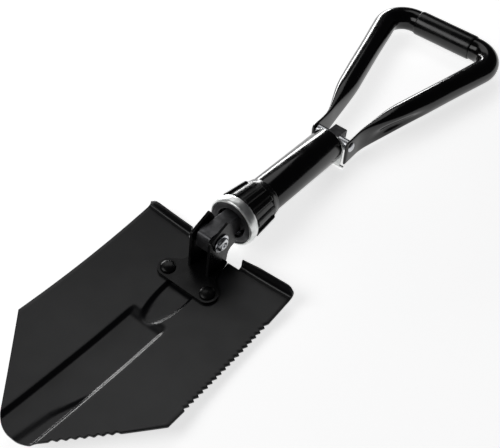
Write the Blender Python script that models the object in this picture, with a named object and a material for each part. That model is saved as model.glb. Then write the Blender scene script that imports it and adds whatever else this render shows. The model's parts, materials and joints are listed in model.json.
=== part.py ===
"""A tri-fold camp shovel, laid on its back, built as separate pieces.

Lengths in this file are millimetres, and add_piece() turns each mesh into metres. The pieces are
drawn in the shaft's frame: the shaft runs along +Y, the blade points to -Y, the blade's hollow
face looks up, and y = 0 is the blade hinge. The whole shovel is then laid on the floor.
"""
import math

import bmesh
import bpy
from mathutils import Matrix, Vector

MM = 0.001
GAP = 0.3                      # clearance between pieces that touch

# How the shovel lies: tipped about X until the blade and the plate at the shaft end meet the floor.
LAY_ANGLE = math.radians(-5.4)
LAY_SHIFT = (0.0, -83.59, 32.181)

# Shaft
TUBE_R = 16.0
TUBE_WALL = 1.5
TUBE_START = 64.0
TUBE_END = 160.0

# Blade
PIN_Z = 3.3
HALF_WIDTH_TOP = 74.4
HALF_WIDTH_SHOULDER = 76.0
SHOULDER_Y = -131.0
TIP_Y = -206.0
TIP_R = 25.0
SHEET = 2.0
CREASE_Y = 12.0
BEND_R = 2.5
FLANGE_H = 7.5
FLANGE_RISE = 2.6
FLANGE_CORNER = 8.0
FLANGE_INNER = 24.0
NOTCH_Y = 9.0
TOOTH_PITCH = 5.1
TOOTH_DEPTH = 2.2
SCALLOP_PITCH = 6.2
SCALLOP_DEPTH = 1.5

# Hinge bracket
RIVET_X = 20.4
RIVET_Y = -25.0
LOBE_R = 8.8
RIVET_SHANK_R = 3.0
EAR_OUT = 10.3
EAR_IN = 8.1
TONGUE_HALF = 6.3
TONGUE_TOP = 11.5
TONGUE_LOW = -7.5
PIN_R = 4.0

# Locking collar
COLLAR_FRONT = 24.9
RING_END = 33.7
NUT_END = 67.0
RIB_END = 60.0
RIB_COUNT = 12
THREAD_R = 15.2
THREAD_PITCH = 4.0

# Folding D handle
PIVOT_Y = 168.0
PIVOT_Z = 4.0
HANDLE_TILT = math.radians(5.0)
ARM_X = 18.0
ARM_SLOPE = 0.25
ARM_BEND_S = 18.0
CROSSBAR_S = 196.0
CORNER_R = 22.0
BEND_LONG_R = 60.0
HEEL_S = -6.0
BAR_R = 11.2
HANDLE_WALL = 1.1
SLEEVE_R = 12.2
SLEEVE_HALF = 31.0
LUG_HALF = 6.0
LUG_TOP = 8.8


def clear_scene():
    for obj in list(bpy.data.objects):
        bpy.data.objects.remove(obj, do_unlink=True)


def material(name, colour, roughness, metallic):
    mat = bpy.data.materials.new(name)
    mat.use_nodes = True
    shader = mat.node_tree.nodes["Principled BSDF"]
    shader.inputs["Base Color"].default_value = (*colour, 1.0)
    shader.inputs["Roughness"].default_value = roughness
    shader.inputs["Metallic"].default_value = metallic
    mat.diffuse_color = (*colour, 1.0)
    return mat


def empty(name, location, parent):
    obj = bpy.data.objects.new(name, None)
    obj.location = [v * MM for v in location]
    obj.parent = parent
    bpy.context.scene.collection.objects.link(obj)
    return obj


def add_piece(name, bm, body, mat, smooth=32.0):
    """Make an object of a mesh drawn in the shaft's frame, riding on a body's empty."""
    origin = Vector(body["origin"])
    bmesh.ops.recalc_face_normals(bm, faces=bm.faces)
    bmesh.ops.transform(bm, matrix=Matrix.Scale(MM, 4) @ Matrix.Translation(-origin), verts=bm.verts)
    mesh = bpy.data.meshes.new(name)
    bm.to_mesh(mesh)
    bm.free()
    mesh.shade_smooth()
    mesh.set_sharp_from_angle(angle=math.radians(smooth))
    mesh.materials.append(mat)
    obj = bpy.data.objects.new(name, mesh)
    obj.parent = body["empty"]
    bpy.context.scene.collection.objects.link(obj)
    return obj


def add_cutter(name, bm, body):
    mat = bpy.data.materials.get("cutter") or material("cutter", (0.5, 0.5, 0.5), 0.5, 0.0)
    obj = add_piece(name, bm, body, mat)
    obj.hide_render = True
    obj.display_type = "WIRE"
    return obj


def boolean(target, tool, operation):
    mod = target.modifiers.new(tool.name, "BOOLEAN")
    mod.operation = operation
    mod.solver = "EXACT"
    mod.object = tool


def turned(profile, axis, segments=32, centre=(0.0, 0.0)):
    """A body turned about a line along X or Y, from (radius, position) points.

    A profile that starts on the axis makes a solid; any other is closed into a hollow ring.
    centre is where the axis is: (y, z) for X, and (x, z) for Y.
    """
    bm = bmesh.new()
    rings = []
    for radius, along in profile:
        ring = []
        for i in range(1 if radius == 0 else segments):
            angle = 2 * math.pi * i / segments
            u = centre[0] + radius * math.cos(angle)
            v = centre[1] + radius * math.sin(angle)
            ring.append(bm.verts.new((along, u, v) if axis == "X" else (u, along, v)))
        rings.append(ring)
    if profile[0][0] > 0:
        rings.append(rings[0])
    for one, two in zip(rings, rings[1:]):
        for i in range(segments):
            j = (i + 1) % segments
            corners = [one[i % len(one)], one[j % len(one)], two[j % len(two)], two[i % len(two)]]
            bm.faces.new(list(dict.fromkeys(corners)))
    return bm


def extruded(outline, axis, low, high):
    """A flat outline pushed along X or Z: (y, z) points for X and (x, y) points for Z."""
    bm = bmesh.new()
    caps = []
    for level in (low, high):
        points = [(level, a, b) if axis == "X" else (a, b, level) for a, b in outline]
        caps.append([bm.verts.new(p) for p in points])
    bm.faces.new(caps[0])
    bm.faces.new(caps[1])
    for i in range(len(outline)):
        j = (i + 1) % len(outline)
        bm.faces.new((caps[0][i], caps[0][j], caps[1][j], caps[1][i]))
    return bm


def arc(centre, radius, start, end, steps):
    """Points on an arc between two angles in degrees."""
    points = []
    for i in range(steps + 1):
        angle = math.radians(start + (end - start) * i / steps)
        points.append((centre[0] + radius * math.cos(angle), centre[1] + radius * math.sin(angle)))
    return points


def smoothstep(value):
    value = min(1.0, max(0.0, value))
    return value * value * (3 - 2 * value)


# ---------------------------------------------------------------- blade

def blade_height(x, y):
    """Height of the blade's hollow face before the pressings: curved both ways."""
    lengthwise = 0.0007 if y > -116 else 0.0003
    return -35.5 + lengthwise * (y + 116) ** 2 + 0.0007 * x * x


def pressing(x, y):
    """Depth of the central channel and of the round-ended recess below the bracket."""
    channel = smoothstep((18.6 - abs(x)) / 4.6) * smoothstep((-66 - y) / 10)
    end_distance = math.hypot(x, min(0.0, y + 66.5))
    recess = smoothstep((13.8 - end_distance) / 4.2)
    return max(2.2 * channel, 2.6 * recess)


def flange_height(x):
    """The foot flange rounds off at the blade's sides, and stands taller on the toothed side."""
    past = max(0.0, abs(x) - (HALF_WIDTH_TOP - FLANGE_CORNER))
    fall = FLANGE_CORNER - math.sqrt(max(0.0, FLANGE_CORNER ** 2 - past * past))
    return FLANGE_H + FLANGE_RISE * smoothstep((x - 20) / 24) - fall


def blade_rows(x):
    """The front and back points of one strip of sheet, from the tip to the flange's top."""
    ys = [-210, -195, -180, -165, -150, -135, -120, -105, -92]
    ys += [-82, -79, -76, -72, -68, -62, -50, -37, -24, -11, 0, CREASE_Y - BEND_R]
    front = []
    back = []
    for y in ys:
        z = blade_height(x, y) - pressing(x, y)
        front.append((y, z))
        back.append((y, z - SHEET))
    base = blade_height(x, CREASE_Y) - pressing(x, CREASE_Y)
    centre = (CREASE_Y - BEND_R, base + BEND_R)
    front += arc(centre, BEND_R, -70, 0, 3)
    back += arc(centre, BEND_R + SHEET, -70, 0, 3)
    top = base + max(flange_height(x), BEND_R + 0.5)
    front.append((CREASE_Y, top))
    back.append((CREASE_Y + SHEET, top))
    return front, back


def blade_outline():
    """The blade's plan: rounded tip, straight shoulders, and a toothed right side."""
    tip = Vector((0.0, TIP_Y + TIP_R))
    shoulder = Vector((HALF_WIDTH_SHOULDER, SHOULDER_Y))
    away = shoulder - tip
    turn = math.acos(TIP_R / away.length)
    touch_angle = math.degrees(math.atan2(away.y, away.x) - turn)
    round_tip = arc(tip, TIP_R, -180 - touch_angle, touch_angle, 12)
    outline = list(round_tip)
    touch = Vector(round_tip[-1])
    edge = shoulder - touch
    outward = Vector((edge.y, -edge.x)).normalized()
    scallops = 8
    start = 6.0
    for i in range(scallops * 4 + 1):
        along = start + i * SCALLOP_PITCH / 4
        depth = SCALLOP_DEPTH * 0.5 * (1 - math.cos(i * math.pi / 2))
        point = touch + edge.normalized() * along - outward * depth
        outline.append(tuple(point))
    outline.append(tuple(shoulder))
    teeth = 19
    first = -114.0
    for i in range(teeth):
        y = first + i * TOOTH_PITCH
        x = side_x(y)
        outline.append((x, y))
        outline.append((x - TOOTH_DEPTH, y + TOOTH_PITCH * 0.25))
    outline.append((side_x(first + teeth * TOOTH_PITCH), first + teeth * TOOTH_PITCH))
    top = CREASE_Y + SHEET + 1.0
    outline.append((HALF_WIDTH_TOP, 4.0))
    outline.append((HALF_WIDTH_TOP, top))
    outline.append((FLANGE_INNER, top))
    outline.append((FLANGE_INNER, NOTCH_Y))
    outline.append((-FLANGE_INNER - 5, NOTCH_Y))
    outline.append((-FLANGE_INNER - 5, top))
    outline.append((-HALF_WIDTH_TOP, top))
    outline.append((-HALF_WIDTH_SHOULDER, SHOULDER_Y))
    return outline


def side_x(y):
    """Half width of the blade between its top corner and its shoulder."""
    part = (y - SHOULDER_Y) / (CREASE_Y - SHOULDER_Y)
    return HALF_WIDTH_SHOULDER + (HALF_WIDTH_TOP - HALF_WIDTH_SHOULDER) * part


def sheet(columns, rows_of):
    """A closed skin through columns of front and back points."""
    bm = bmesh.new()
    fronts = []
    backs = []
    for x in columns:
        front, back = rows_of(x)
        fronts.append([bm.verts.new((x, *p)) for p in front])
        backs.append([bm.verts.new((x, *p)) for p in back])
    last = len(fronts[0]) - 1
    for a, b, c, d in zip(fronts, fronts[1:], backs, backs[1:]):
        for i in range(last):
            bm.faces.new((a[i], b[i], b[i + 1], a[i + 1]))
            bm.faces.new((c[i], c[i + 1], d[i + 1], d[i]))
        bm.faces.new((a[0], c[0], d[0], b[0]))
        bm.faces.new((a[last], b[last], d[last], c[last]))
    for front, back in ((fronts[0], backs[0]), (fronts[-1], backs[-1])):
        for i in range(last):
            bm.faces.new((front[i], front[i + 1], back[i + 1], back[i]))
    return bm


def mirrored(values):
    return [-v for v in reversed(values) if v > 0] + list(values)


def make_blade(body, mats):
    columns = mirrored([0, 9, 10.6, 12, 13.4, 15, 16.4, 18, 24, 34, 46, 58, 66, 69, 71, 73, 79])
    blade = add_piece("blade", sheet(columns, blade_rows), body, mats["blade"])
    plan = add_cutter("blade_plan", extruded(blade_outline(), "Z", -60, 10), body)
    boolean(blade, plan, "INTERSECT")
    for side, sign in (("left", -1), ("right", 1)):
        hole = turned_z(RIVET_SHANK_R + GAP, sign * RIVET_X, RIVET_Y, -60, 0)
        boolean(blade, add_cutter("blade_hole_" + side, hole, body), "DIFFERENCE")
    return blade


def turned_z(radius, x, y, low, high, segments=20):
    """A plain round bar standing along Z."""
    circle = arc((x, y), radius, 0, 360, segments)[:-1]
    return extruded(circle, "Z", low, high)


# ---------------------------------------------------------------- hinge bracket

def bracket_rows(x):
    low = [(y, blade_height(x, y) + GAP) for y in (-36, -30, -24, -16, -8, 0, 7, 13)]
    high = [(y, z + 2.2) for y, z in low]
    return high, low


def bracket_outline():
    """Base of the bracket: two round lobes for the rivets, drawn in to the ears."""
    right = arc((RIVET_X, RIVET_Y), LOBE_R, -135, 60, 10)
    left = arc((-RIVET_X, RIVET_Y), LOBE_R, 120, 315, 10)
    return left + right + [(14.5, -4.0), (12.5, 8.0), (-12.5, 8.0), (-14.5, -4.0)]


def ear_outline():
    """Side view (y, z) of an ear, with its sloping top and the chin that the collar locks on."""
    outline = [(-13.0, -27.0), (-13.0, 10.2)]
    outline += arc((-11.4, 9.6), 1.6, 160, 112, 2)
    outline += arc((7.4, 17.4), 1.8, 110, 25, 4)
    outline += [(13.4, 11.1), (18.6, -4.6)]
    outline += arc((17.0, -8.4), 2.4, 20, -60, 4)
    outline += arc((17.6, -18.0), 7.0, 120, 175, 4)
    outline.append((9.8, -24.4))
    return outline


def make_bracket(body, mats):
    columns = mirrored([0, 6, 10, 14, 18, 22, 26, 30])
    base = add_piece("hinge_bracket", sheet(columns, bracket_rows), body, mats["black"])
    plan = add_cutter("bracket_plan", extruded(bracket_outline(), "Z", -60, 10), body)
    boolean(base, plan, "INTERSECT")
    for side, sign in (("left", -1), ("right", 1)):
        ear = extruded(ear_outline(), "X", sign * EAR_IN, sign * EAR_OUT)
        boolean(base, add_cutter("ear_" + side, ear, body), "UNION")
        hole = turned_z(RIVET_SHANK_R + GAP, sign * RIVET_X, RIVET_Y, -60, 0)
        boolean(base, add_cutter("bracket_hole_" + side, hole, body), "DIFFERENCE")
    bore = turned([(0, -15), (PIN_R + GAP, -15), (PIN_R + GAP, 15), (0, 15)], "X", 24, (0, PIN_Z))
    boolean(base, add_cutter("pin_bore", bore, body), "DIFFERENCE")


def make_blade_rivets(body, mats):
    """Each rivet stands square to the sheet at its own place."""
    slope = 2 * 0.0007 * (RIVET_Y + 116)
    for side, sign in (("left", -1), ("right", 1)):
        seat = blade_height(RIVET_X, RIVET_Y)
        under = seat - SHEET - GAP
        over = seat + GAP + 2.2 + GAP
        shank = RIVET_SHANK_R
        profile = [(0, under - 1.5), (3.6, under - 1.4), (5.2, under - 0.8), (5.4, under)]
        profile += [(shank, under), (shank, over), (6.6, over), (6.4, over + 0.9)]
        profile += [(5.0, over + 2.0), (2.6, over + 2.6), (0, over + 2.8)]
        bm = turned(profile, "Y", 24)
        stand = Matrix.Rotation(math.radians(90), 4, "X")
        tip_over = Matrix.Rotation(math.atan(slope), 4, "X")
        middle = (under + over) / 2
        bmesh.ops.transform(bm, matrix=Matrix.Translation((0, -middle, 0)), verts=bm.verts)
        place = Matrix.Translation((sign * RIVET_X, RIVET_Y, middle)) @ tip_over @ stand
        bmesh.ops.transform(bm, matrix=place, verts=bm.verts)
        add_piece("blade_rivet_" + side, bm, body, mats["black"])


def make_hinge_pin(body, mats):
    """The blade's pivot: a rivet with rolled heads, a washer outside and one inside each ear."""
    head_in = EAR_OUT + GAP + 1.2 + GAP
    rim = [(1.8, head_in + 1.0), (2.6, head_in + 2.0), (4.2, head_in + 2.2), (5.6, head_in + 1.4)]
    end = [(0, head_in + 0.9)] + rim + [(5.9, head_in), (PIN_R, head_in)]
    profile = [(r, -x) for r, x in end] + [(r, x) for r, x in reversed(end)]
    add_piece("hinge_pin", turned(profile, "X", 28, (0, PIN_Z)), body, mats["zinc"])
    sizes = (("hinge_washer", EAR_OUT + GAP, 1.2, 8.0), ("friction_washer", TONGUE_HALF + GAP, 1.2, 8.6))
    for name, start, thick, radius in sizes:
        for side, sign in (("left", -1), ("right", 1)):
            a, b = sign * start, sign * (start + thick)
            bore = PIN_R + GAP
            ring = [(bore, a), (radius, a), (radius, b), (bore, b)]
            bm = turned(ring, "X", 28, (0, PIN_Z))
            add_piece(name + "_" + side, bm, body, mats["zinc" if "hinge" in name else "steel"])


# ---------------------------------------------------------------- shaft

def make_tongue(body, mats):
    """Flat bar between the ears, with a round shank that goes into the threaded sleeve."""
    nose = arc((-6.5, TONGUE_TOP - 3), 3.0, 180, 90, 4)
    chin = arc((-3.5, TONGUE_LOW + 6), 6.0, 270, 180, 4)
    outline = nose + [(36.6, TONGUE_TOP), (36.6, TONGUE_LOW)] + chin
    bar = add_piece("hinge_tongue", extruded(outline, "X", -TONGUE_HALF, TONGUE_HALF), body, mats["steel"])
    shank = turned([(0, 30), (10, 30), (10, 80), (0, 80)], "Y", 24)
    boolean(bar, add_cutter("tongue_shank", shank, body), "UNION")
    bore_r = PIN_R + GAP
    bore = turned([(0, -15), (bore_r, -15), (bore_r, 15), (0, 15)], "X", 24, (0, PIN_Z))
    boolean(bar, add_cutter("tongue_bore", bore, body), "DIFFERENCE")


def make_threaded_sleeve(body, mats):
    """Sleeve fixed in the tube's mouth: the collar's thread outside, the tongue's shank inside."""
    profile = [(10 + GAP, 37.0), (THREAD_R - 1.0, 37.0)]
    crest = 37.6
    while crest + THREAD_PITCH < TUBE_START - 1:
        profile += [(THREAD_R - 0.9, crest), (THREAD_R, crest + THREAD_PITCH / 2)]
        crest += THREAD_PITCH
    inside = TUBE_R - TUBE_WALL - GAP
    profile += [(THREAD_R, crest), (THREAD_R, TUBE_START - GAP), (inside, TUBE_START - GAP)]
    profile += [(inside, 82.0), (10 + GAP, 82.0)]
    add_piece("threaded_sleeve", turned(profile, "Y", 24), body, mats["steel"])


def make_tube(body, mats):
    inner = TUBE_R - TUBE_WALL
    profile = [(inner, TUBE_START), (TUBE_R - 0.4, TUBE_START), (TUBE_R, TUBE_START + 0.6)]
    profile += [(TUBE_R, TUBE_END), (inner, TUBE_END)]
    add_piece("shaft_tube", turned(profile, "Y", 48), body, mats["black"])


# ---------------------------------------------------------------- locking collar

def make_collar_rings(body, mats):
    """The thrust ring that bears on the ears, the bright ring round it, and their snap ring."""
    front = COLLAR_FRONT
    thrust = [(13.6, front + 1.0), (14.2, front + 0.4), (18.4, front + 0.4), (18.9, front + 0.8)]
    thrust += [(18.9, front + 6.0), (16.4, front + 6.0), (16.4, front + 3.6), (13.6, front + 3.6)]
    add_piece("thrust_ring", turned(thrust, "Y", 40), body, mats["steel"])
    bright = [(18.9 + GAP, front + 0.4), (19.6, front), (20.7, front + 0.5), (21.5, front + 1.8)]
    bright += [(21.9, front + 4.0), (21.8, RING_END), (18.9 + GAP, RING_END)]
    add_piece("collar_ring", turned(bright, "Y", 48), body, mats["bright"])
    snap = [(17.0, front + 6.3), (18.8, front + 6.3), (18.8, front + 7.6), (17.0, front + 7.6)]
    add_piece("snap_ring", turned(snap, "Y", 32), body, mats["zinc"])


def nut_radius(y, angle):
    """The nut tapers to the tube and has raised ribs along it."""
    if y <= RIB_END:
        base = 20.9 - 2.3 * (y - RING_END) / (RIB_END - RING_END)
    else:
        base = 18.6 - 1.5 * smoothstep((y - RIB_END) / (NUT_END - RIB_END))
    phase = (angle * RIB_COUNT / (2 * math.pi)) % 1.0
    across = 1.0 if abs(phase - 0.5) < 0.2 else 0.0
    along = smoothstep((RIB_END - y) / 2.0)
    return base + 1.4 * across * along


def make_nut(body, mats):
    """Ribbed locking nut: a moulded grip over a threaded insert."""
    start = RING_END + GAP
    stations = [start, 46.0, 58.0, 59.2, RIB_END, 64.0, NUT_END]
    bores = [(16.5, NUT_END), (16.5, 55.0), (18.0, 55.0), (18.0, start)]
    segments = RIB_COUNT * 6
    bm = bmesh.new()
    rings = []
    for y in stations:
        ring = []
        for i in range(segments):
            angle = 2 * math.pi * i / segments
            radius = nut_radius(y, angle)
            ring.append(bm.verts.new((radius * math.cos(angle), y, radius * math.sin(angle))))
        rings.append(ring)
    for radius, y in bores:
        angles = [2 * math.pi * i / segments for i in range(segments)]
        rings.append([bm.verts.new((radius * math.cos(a), y, radius * math.sin(a))) for a in angles])
    for one, two in zip(rings, rings[1:] + rings[:1]):
        for i in range(segments):
            j = (i + 1) % segments
            bm.faces.new((one[i], one[j], two[j], two[i]))
    add_piece("lock_nut", bm, body, mats["plastic"], smooth=50)
    bore = THREAD_R + GAP
    insert = [(bore, start + 0.5), (18.0 - GAP, start + 0.5), (18.0 - GAP, 54.0), (bore, 54.0)]
    add_piece("nut_insert", turned(insert, "Y", 32), body, mats["zinc"])


# ---------------------------------------------------------------- handle end of the shaft

def stop_plate_outline():
    """Cross-section (x, z) of the plate: chamfered top corners and a ledge for the arms' heels."""
    side = TUBE_R - 0.1
    half = [(9.2, 12.5), (13.4, 9.0), (side, 4.0), (side, -14.6), (19.6, -14.6), (19.6, -16.4), (9.0, -17.0)]
    return half + [(-x, z) for x, z in reversed(half)]


def along_y(outline, low, high):
    """An (x, z) outline pushed along the shaft."""
    bm = bmesh.new()
    caps = [[bm.verts.new((x, y, z)) for x, z in outline] for y in (low, high)]
    bm.faces.new(caps[0])
    bm.faces.new(caps[1])
    for i in range(len(outline)):
        j = (i + 1) % len(outline)
        bm.faces.new((caps[0][i], caps[0][j], caps[1][j], caps[1][i]))
    return bm


def make_handle_mount(body, mats):
    """Plug in the tube's end, with the lug that the handle's rivet goes through."""
    plate_start = TUBE_END + GAP
    plate_end = plate_start + 1.8
    plate = add_piece("stop_plate", along_y(stop_plate_outline(), plate_start, plate_end), body, mats["bright"])
    neck = 5.6
    hole = turned([(0, 150), (neck + GAP, 150), (neck + GAP, 175), (0, 175)], "Y", 24)
    boolean(plate, add_cutter("plate_hole", hole, body), "DIFFERENCE")

    face = plate_end + GAP
    outline = [(face, -8.0), (face, LUG_TOP - 0.8), (face + 0.8, LUG_TOP), (180.2, LUG_TOP)]
    outline += [(181.0, LUG_TOP - 0.8), (181.0, -2.0), (175.0, -8.0)]
    lug = add_piece("handle_lug", extruded(outline, "X", -LUG_HALF, LUG_HALF), body, mats["steel"])
    plug_r = TUBE_R - TUBE_WALL - GAP
    stem = [(0, 138), (plug_r, 138), (plug_r, TUBE_END), (neck, TUBE_END), (neck, 166), (0, 166)]
    boolean(lug, add_cutter("lug_plug", turned(stem, "Y", 28), body), "UNION")
    bore_r = 3.0 + GAP
    bore_profile = [(0, -25), (bore_r, -25), (bore_r, 25), (0, 25)]
    bore = turned(bore_profile, "X", 20, (PIVOT_Y, PIVOT_Z))
    boolean(lug, add_cutter("lug_bore", bore, body), "DIFFERENCE")

    arm_in = ARM_X - 1.5
    arm_out = ARM_X + 1.5
    for side, sign in (("left", -1), ("right", 1)):
        a, b = sign * (LUG_HALF + GAP), sign * (arm_in - GAP)
        spacer = [(bore_r, a), (5.0, a), (5.0, b), (bore_r, b)]
        add_piece("handle_spacer_" + side, turned(spacer, "X", 24, (PIVOT_Y, PIVOT_Z)), body, mats["zinc"])
    out = arm_out + GAP
    end = [(0, out + 1.9), (2.4, out + 1.7), (4.2, out + 0.9), (4.6, out), (3.0, out)]
    rivet = [(r, -x) for r, x in end] + [(r, x) for r, x in reversed(end)]
    add_piece("handle_rivet", turned(rivet, "X", 24, (PIVOT_Y, PIVOT_Z)), body, mats["zinc"])


# ---------------------------------------------------------------- D handle

def fillet(before, corner, after, radius, steps):
    """Points of an arc that rounds a corner between two straight runs."""
    corner = Vector(corner)
    to_before = (Vector(before) - corner).normalized()
    to_after = (Vector(after) - corner).normalized()
    half = to_before.angle(to_after) / 2
    centre = corner + (to_before + to_after).normalized() * (radius / math.sin(half))
    start = corner + to_before * (radius / math.tan(half)) - centre
    end = corner + to_after * (radius / math.tan(half)) - centre
    sweep = start.angle_signed(end)
    points = []
    for i in range(steps + 1):
        points.append(centre + Matrix.Rotation(-sweep * i / steps, 2) @ start)
    return points


def handle_path():
    """Centre line of the bent tube in its own plane: x, and s away from the pivot."""
    corner = (ARM_X + ARM_SLOPE * (CROSSBAR_S - ARM_BEND_S), CROSSBAR_S)
    bend = (ARM_X, ARM_BEND_S)
    half = [Vector((ARM_X, HEEL_S)), Vector((ARM_X, 3.0))]
    half += fillet(half[0], bend, corner, BEND_LONG_R, 3)
    last = half[-1]
    turn = fillet(bend, corner, (0, CROSSBAR_S), CORNER_R, 8)
    runs = 8
    half += [last.lerp(turn[0], i / runs) for i in range(1, runs)]
    half += turn
    half.append(Vector((0.0, CROSSBAR_S)))
    return [Vector((-p.x, p.y)) for p in half[:-1]] + half[::-1]


def arm_section(s):
    """Half width, half height, sink and squareness of the tube at a distance from the pivot."""
    grow = smoothstep((s - 10.0) / 62.0)
    half_width = 1.5 + (BAR_R - 0.8 - 1.5) * grow
    half_height = 12.5 + (BAR_R + 0.4 - 12.5) * grow
    to_round = smoothstep((s - 120.0) / 50.0)
    half_width += (BAR_R - half_width) * to_round
    half_height += (BAR_R - half_height) * to_round
    sink = -5.5 * (1 - smoothstep((s - 4.0) / 60.0))
    power = 4.0 - 2.0 * grow
    return half_width, half_height, sink, power


def handle_loop(point, across, inset, segments):
    """One cross-section of the handle tube, as points in the shaft's frame."""
    half_width, half_height, sink, power = arm_section(point.y)
    half_width -= inset
    half_height -= inset
    loop = []
    for i in range(segments):
        angle = 2 * math.pi * i / segments
        c, s = math.cos(angle), math.sin(angle)
        u = half_width * math.copysign(abs(c) ** (2 / power), c)
        v = half_height * math.copysign(abs(s) ** (2 / power), s) + sink
        place = point + across * u
        loop.append(on_handle(place.x, place.y, v))
    return loop


def on_handle(x, s, n):
    """From the handle's own plane to the shaft's frame."""
    y = PIVOT_Y + s * math.cos(HANDLE_TILT) - n * math.sin(HANDLE_TILT)
    z = PIVOT_Z + s * math.sin(HANDLE_TILT) + n * math.cos(HANDLE_TILT)
    return Vector((x, y, z))


def make_handle(body, mats):
    """One steel tube bent to a D, its ends pressed flat, with a moulded sleeve on the crossbar."""
    path = handle_path()
    segments = 16
    bm = bmesh.new()
    skins = []
    for inset in (0.0, HANDLE_WALL):
        rings = []
        for i, point in enumerate(path):
            ahead = path[min(i + 1, len(path) - 1)] - path[max(i - 1, 0)]
            across = Vector((ahead.y, -ahead.x)).normalized()
            loop = handle_loop(point, across, inset, segments)
            rings.append([bm.verts.new(p) for p in loop])
        skins.append(rings)
    outer, inner = skins
    chain = outer + inner[::-1]
    for one, two in zip(chain, chain[1:] + chain[:1]):
        for i in range(segments):
            j = (i + 1) % segments
            bm.faces.new((one[i], one[j], two[j], two[i]))
    handle = add_piece("d_handle", bm, body, mats["black"], smooth=40)
    bore_r = 3.0 + GAP
    bore_profile = [(0, -25), (bore_r, -25), (bore_r, 25), (0, 25)]
    bore = turned(bore_profile, "X", 20, (PIVOT_Y, PIVOT_Z))
    boolean(handle, add_cutter("handle_bore", bore, body), "DIFFERENCE")

    centre = on_handle(0, CROSSBAR_S, 0)
    inner_r = BAR_R + GAP
    end = [(inner_r, SLEEVE_HALF), (SLEEVE_R - 0.7, SLEEVE_HALF), (SLEEVE_R, SLEEVE_HALF - 1.0)]
    profile = end + [(r, -x) for r, x in reversed(end)]
    add_piece("grip_sleeve", turned(profile, "X", 32, (centre.y, centre.z)), body, mats["plastic"])


def make_materials():
    return {
        "blade": material("blade_coat", (0.022, 0.022, 0.024), 0.55, 0.0),
        "black": material("gloss_black", (0.008, 0.008, 0.009), 0.18, 0.0),
        "plastic": material("moulded_black", (0.012, 0.012, 0.012), 0.35, 0.0),
        "steel": material("grey_steel", (0.16, 0.16, 0.17), 0.45, 0.8),
        "zinc": material("zinc", (0.62, 0.63, 0.64), 0.3, 1.0),
        "bright": material("bright_ring", (0.8, 0.81, 0.8), 0.3, 0.9),
    }


def make_bodies():
    """One empty for each rigid body, on the axis that the body moves about."""
    frame = empty("shovel", LAY_SHIFT, None)
    frame.rotation_euler = (LAY_ANGLE, 0, 0)
    origins = {
        "shaft": (0, 0, 0),
        "blade": (0, 0, PIN_Z),
        "collar": (0, COLLAR_FRONT, 0),
        "nut": (0, COLLAR_FRONT, 0),
        "handle": (0, PIVOT_Y, PIVOT_Z),
    }
    bodies = {}
    for name, origin in origins.items():
        bodies[name] = {"origin": origin, "empty": empty("body_" + name, origin, frame)}
    return bodies


def main():
    clear_scene()
    mats = make_materials()
    bodies = make_bodies()
    make_blade(bodies["blade"], mats)
    make_bracket(bodies["blade"], mats)
    make_blade_rivets(bodies["blade"], mats)
    make_hinge_pin(bodies["blade"], mats)
    make_tongue(bodies["shaft"], mats)
    make_threaded_sleeve(bodies["shaft"], mats)
    make_tube(bodies["shaft"], mats)
    make_handle_mount(bodies["shaft"], mats)
    make_collar_rings(bodies["collar"], mats)
    make_nut(bodies["nut"], mats)
    make_handle(bodies["handle"], mats)


main()
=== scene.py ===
"""Looks for the folding camp shovel: fine surfaces, procedural materials, floor, light and camera.

Shapes are drawn in the shaft's frame in millimetres, as the CAD is: the shaft runs along +Y, the
blade points to -Y, its hollow face looks up along +Z, and y = 0 is the blade hinge.
"""
import json
import math

import bmesh
import bpy
from mathutils import Matrix, Vector


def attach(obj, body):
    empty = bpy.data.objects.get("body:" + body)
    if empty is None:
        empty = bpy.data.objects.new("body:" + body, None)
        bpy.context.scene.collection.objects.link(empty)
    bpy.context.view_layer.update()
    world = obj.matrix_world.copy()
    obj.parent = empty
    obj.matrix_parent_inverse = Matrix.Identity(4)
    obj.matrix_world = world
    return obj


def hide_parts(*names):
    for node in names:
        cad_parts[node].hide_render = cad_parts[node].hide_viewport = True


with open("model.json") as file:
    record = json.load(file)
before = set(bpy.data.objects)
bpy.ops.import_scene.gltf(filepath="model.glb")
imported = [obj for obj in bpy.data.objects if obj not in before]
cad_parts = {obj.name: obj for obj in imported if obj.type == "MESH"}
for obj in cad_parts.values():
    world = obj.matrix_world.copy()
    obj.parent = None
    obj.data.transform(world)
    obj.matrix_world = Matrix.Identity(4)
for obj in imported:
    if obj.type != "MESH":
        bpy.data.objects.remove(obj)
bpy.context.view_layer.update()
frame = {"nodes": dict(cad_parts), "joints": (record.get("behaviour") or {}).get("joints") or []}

MM = 0.001

# ---------------------------------------------------------------- the shaft's frame

PIN_Z = 3.3
JOINTS = {joint["name"]: joint for joint in frame["joints"]}
SHAFT_X = Vector((1.0, 0.0, 0.0))
SHAFT_Y = Vector(JOINTS["collar_travel"]["axis"]).normalized()
SHAFT_Z = SHAFT_X.cross(SHAFT_Y)
TURN = Matrix((SHAFT_X, SHAFT_Y, SHAFT_Z)).transposed()
ORIGIN = Vector(JOINTS["blade_fold"]["pos_m"]) - SHAFT_Z * PIN_Z * MM
TO_WORLD = Matrix.Translation(ORIGIN) @ TURN.to_4x4() @ Matrix.Scale(MM, 4)


# ---------------------------------------------------------------- mesh helpers

def smoothstep(value):
    value = min(1.0, max(0.0, value))
    return value * value * (3 - 2 * value)


def arc(centre, radius, start, end, steps):
    points = []
    for i in range(steps + 1):
        angle = math.radians(start + (end - start) * i / steps)
        points.append((centre[0] + radius * math.cos(angle), centre[1] + radius * math.sin(angle)))
    return points


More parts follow.
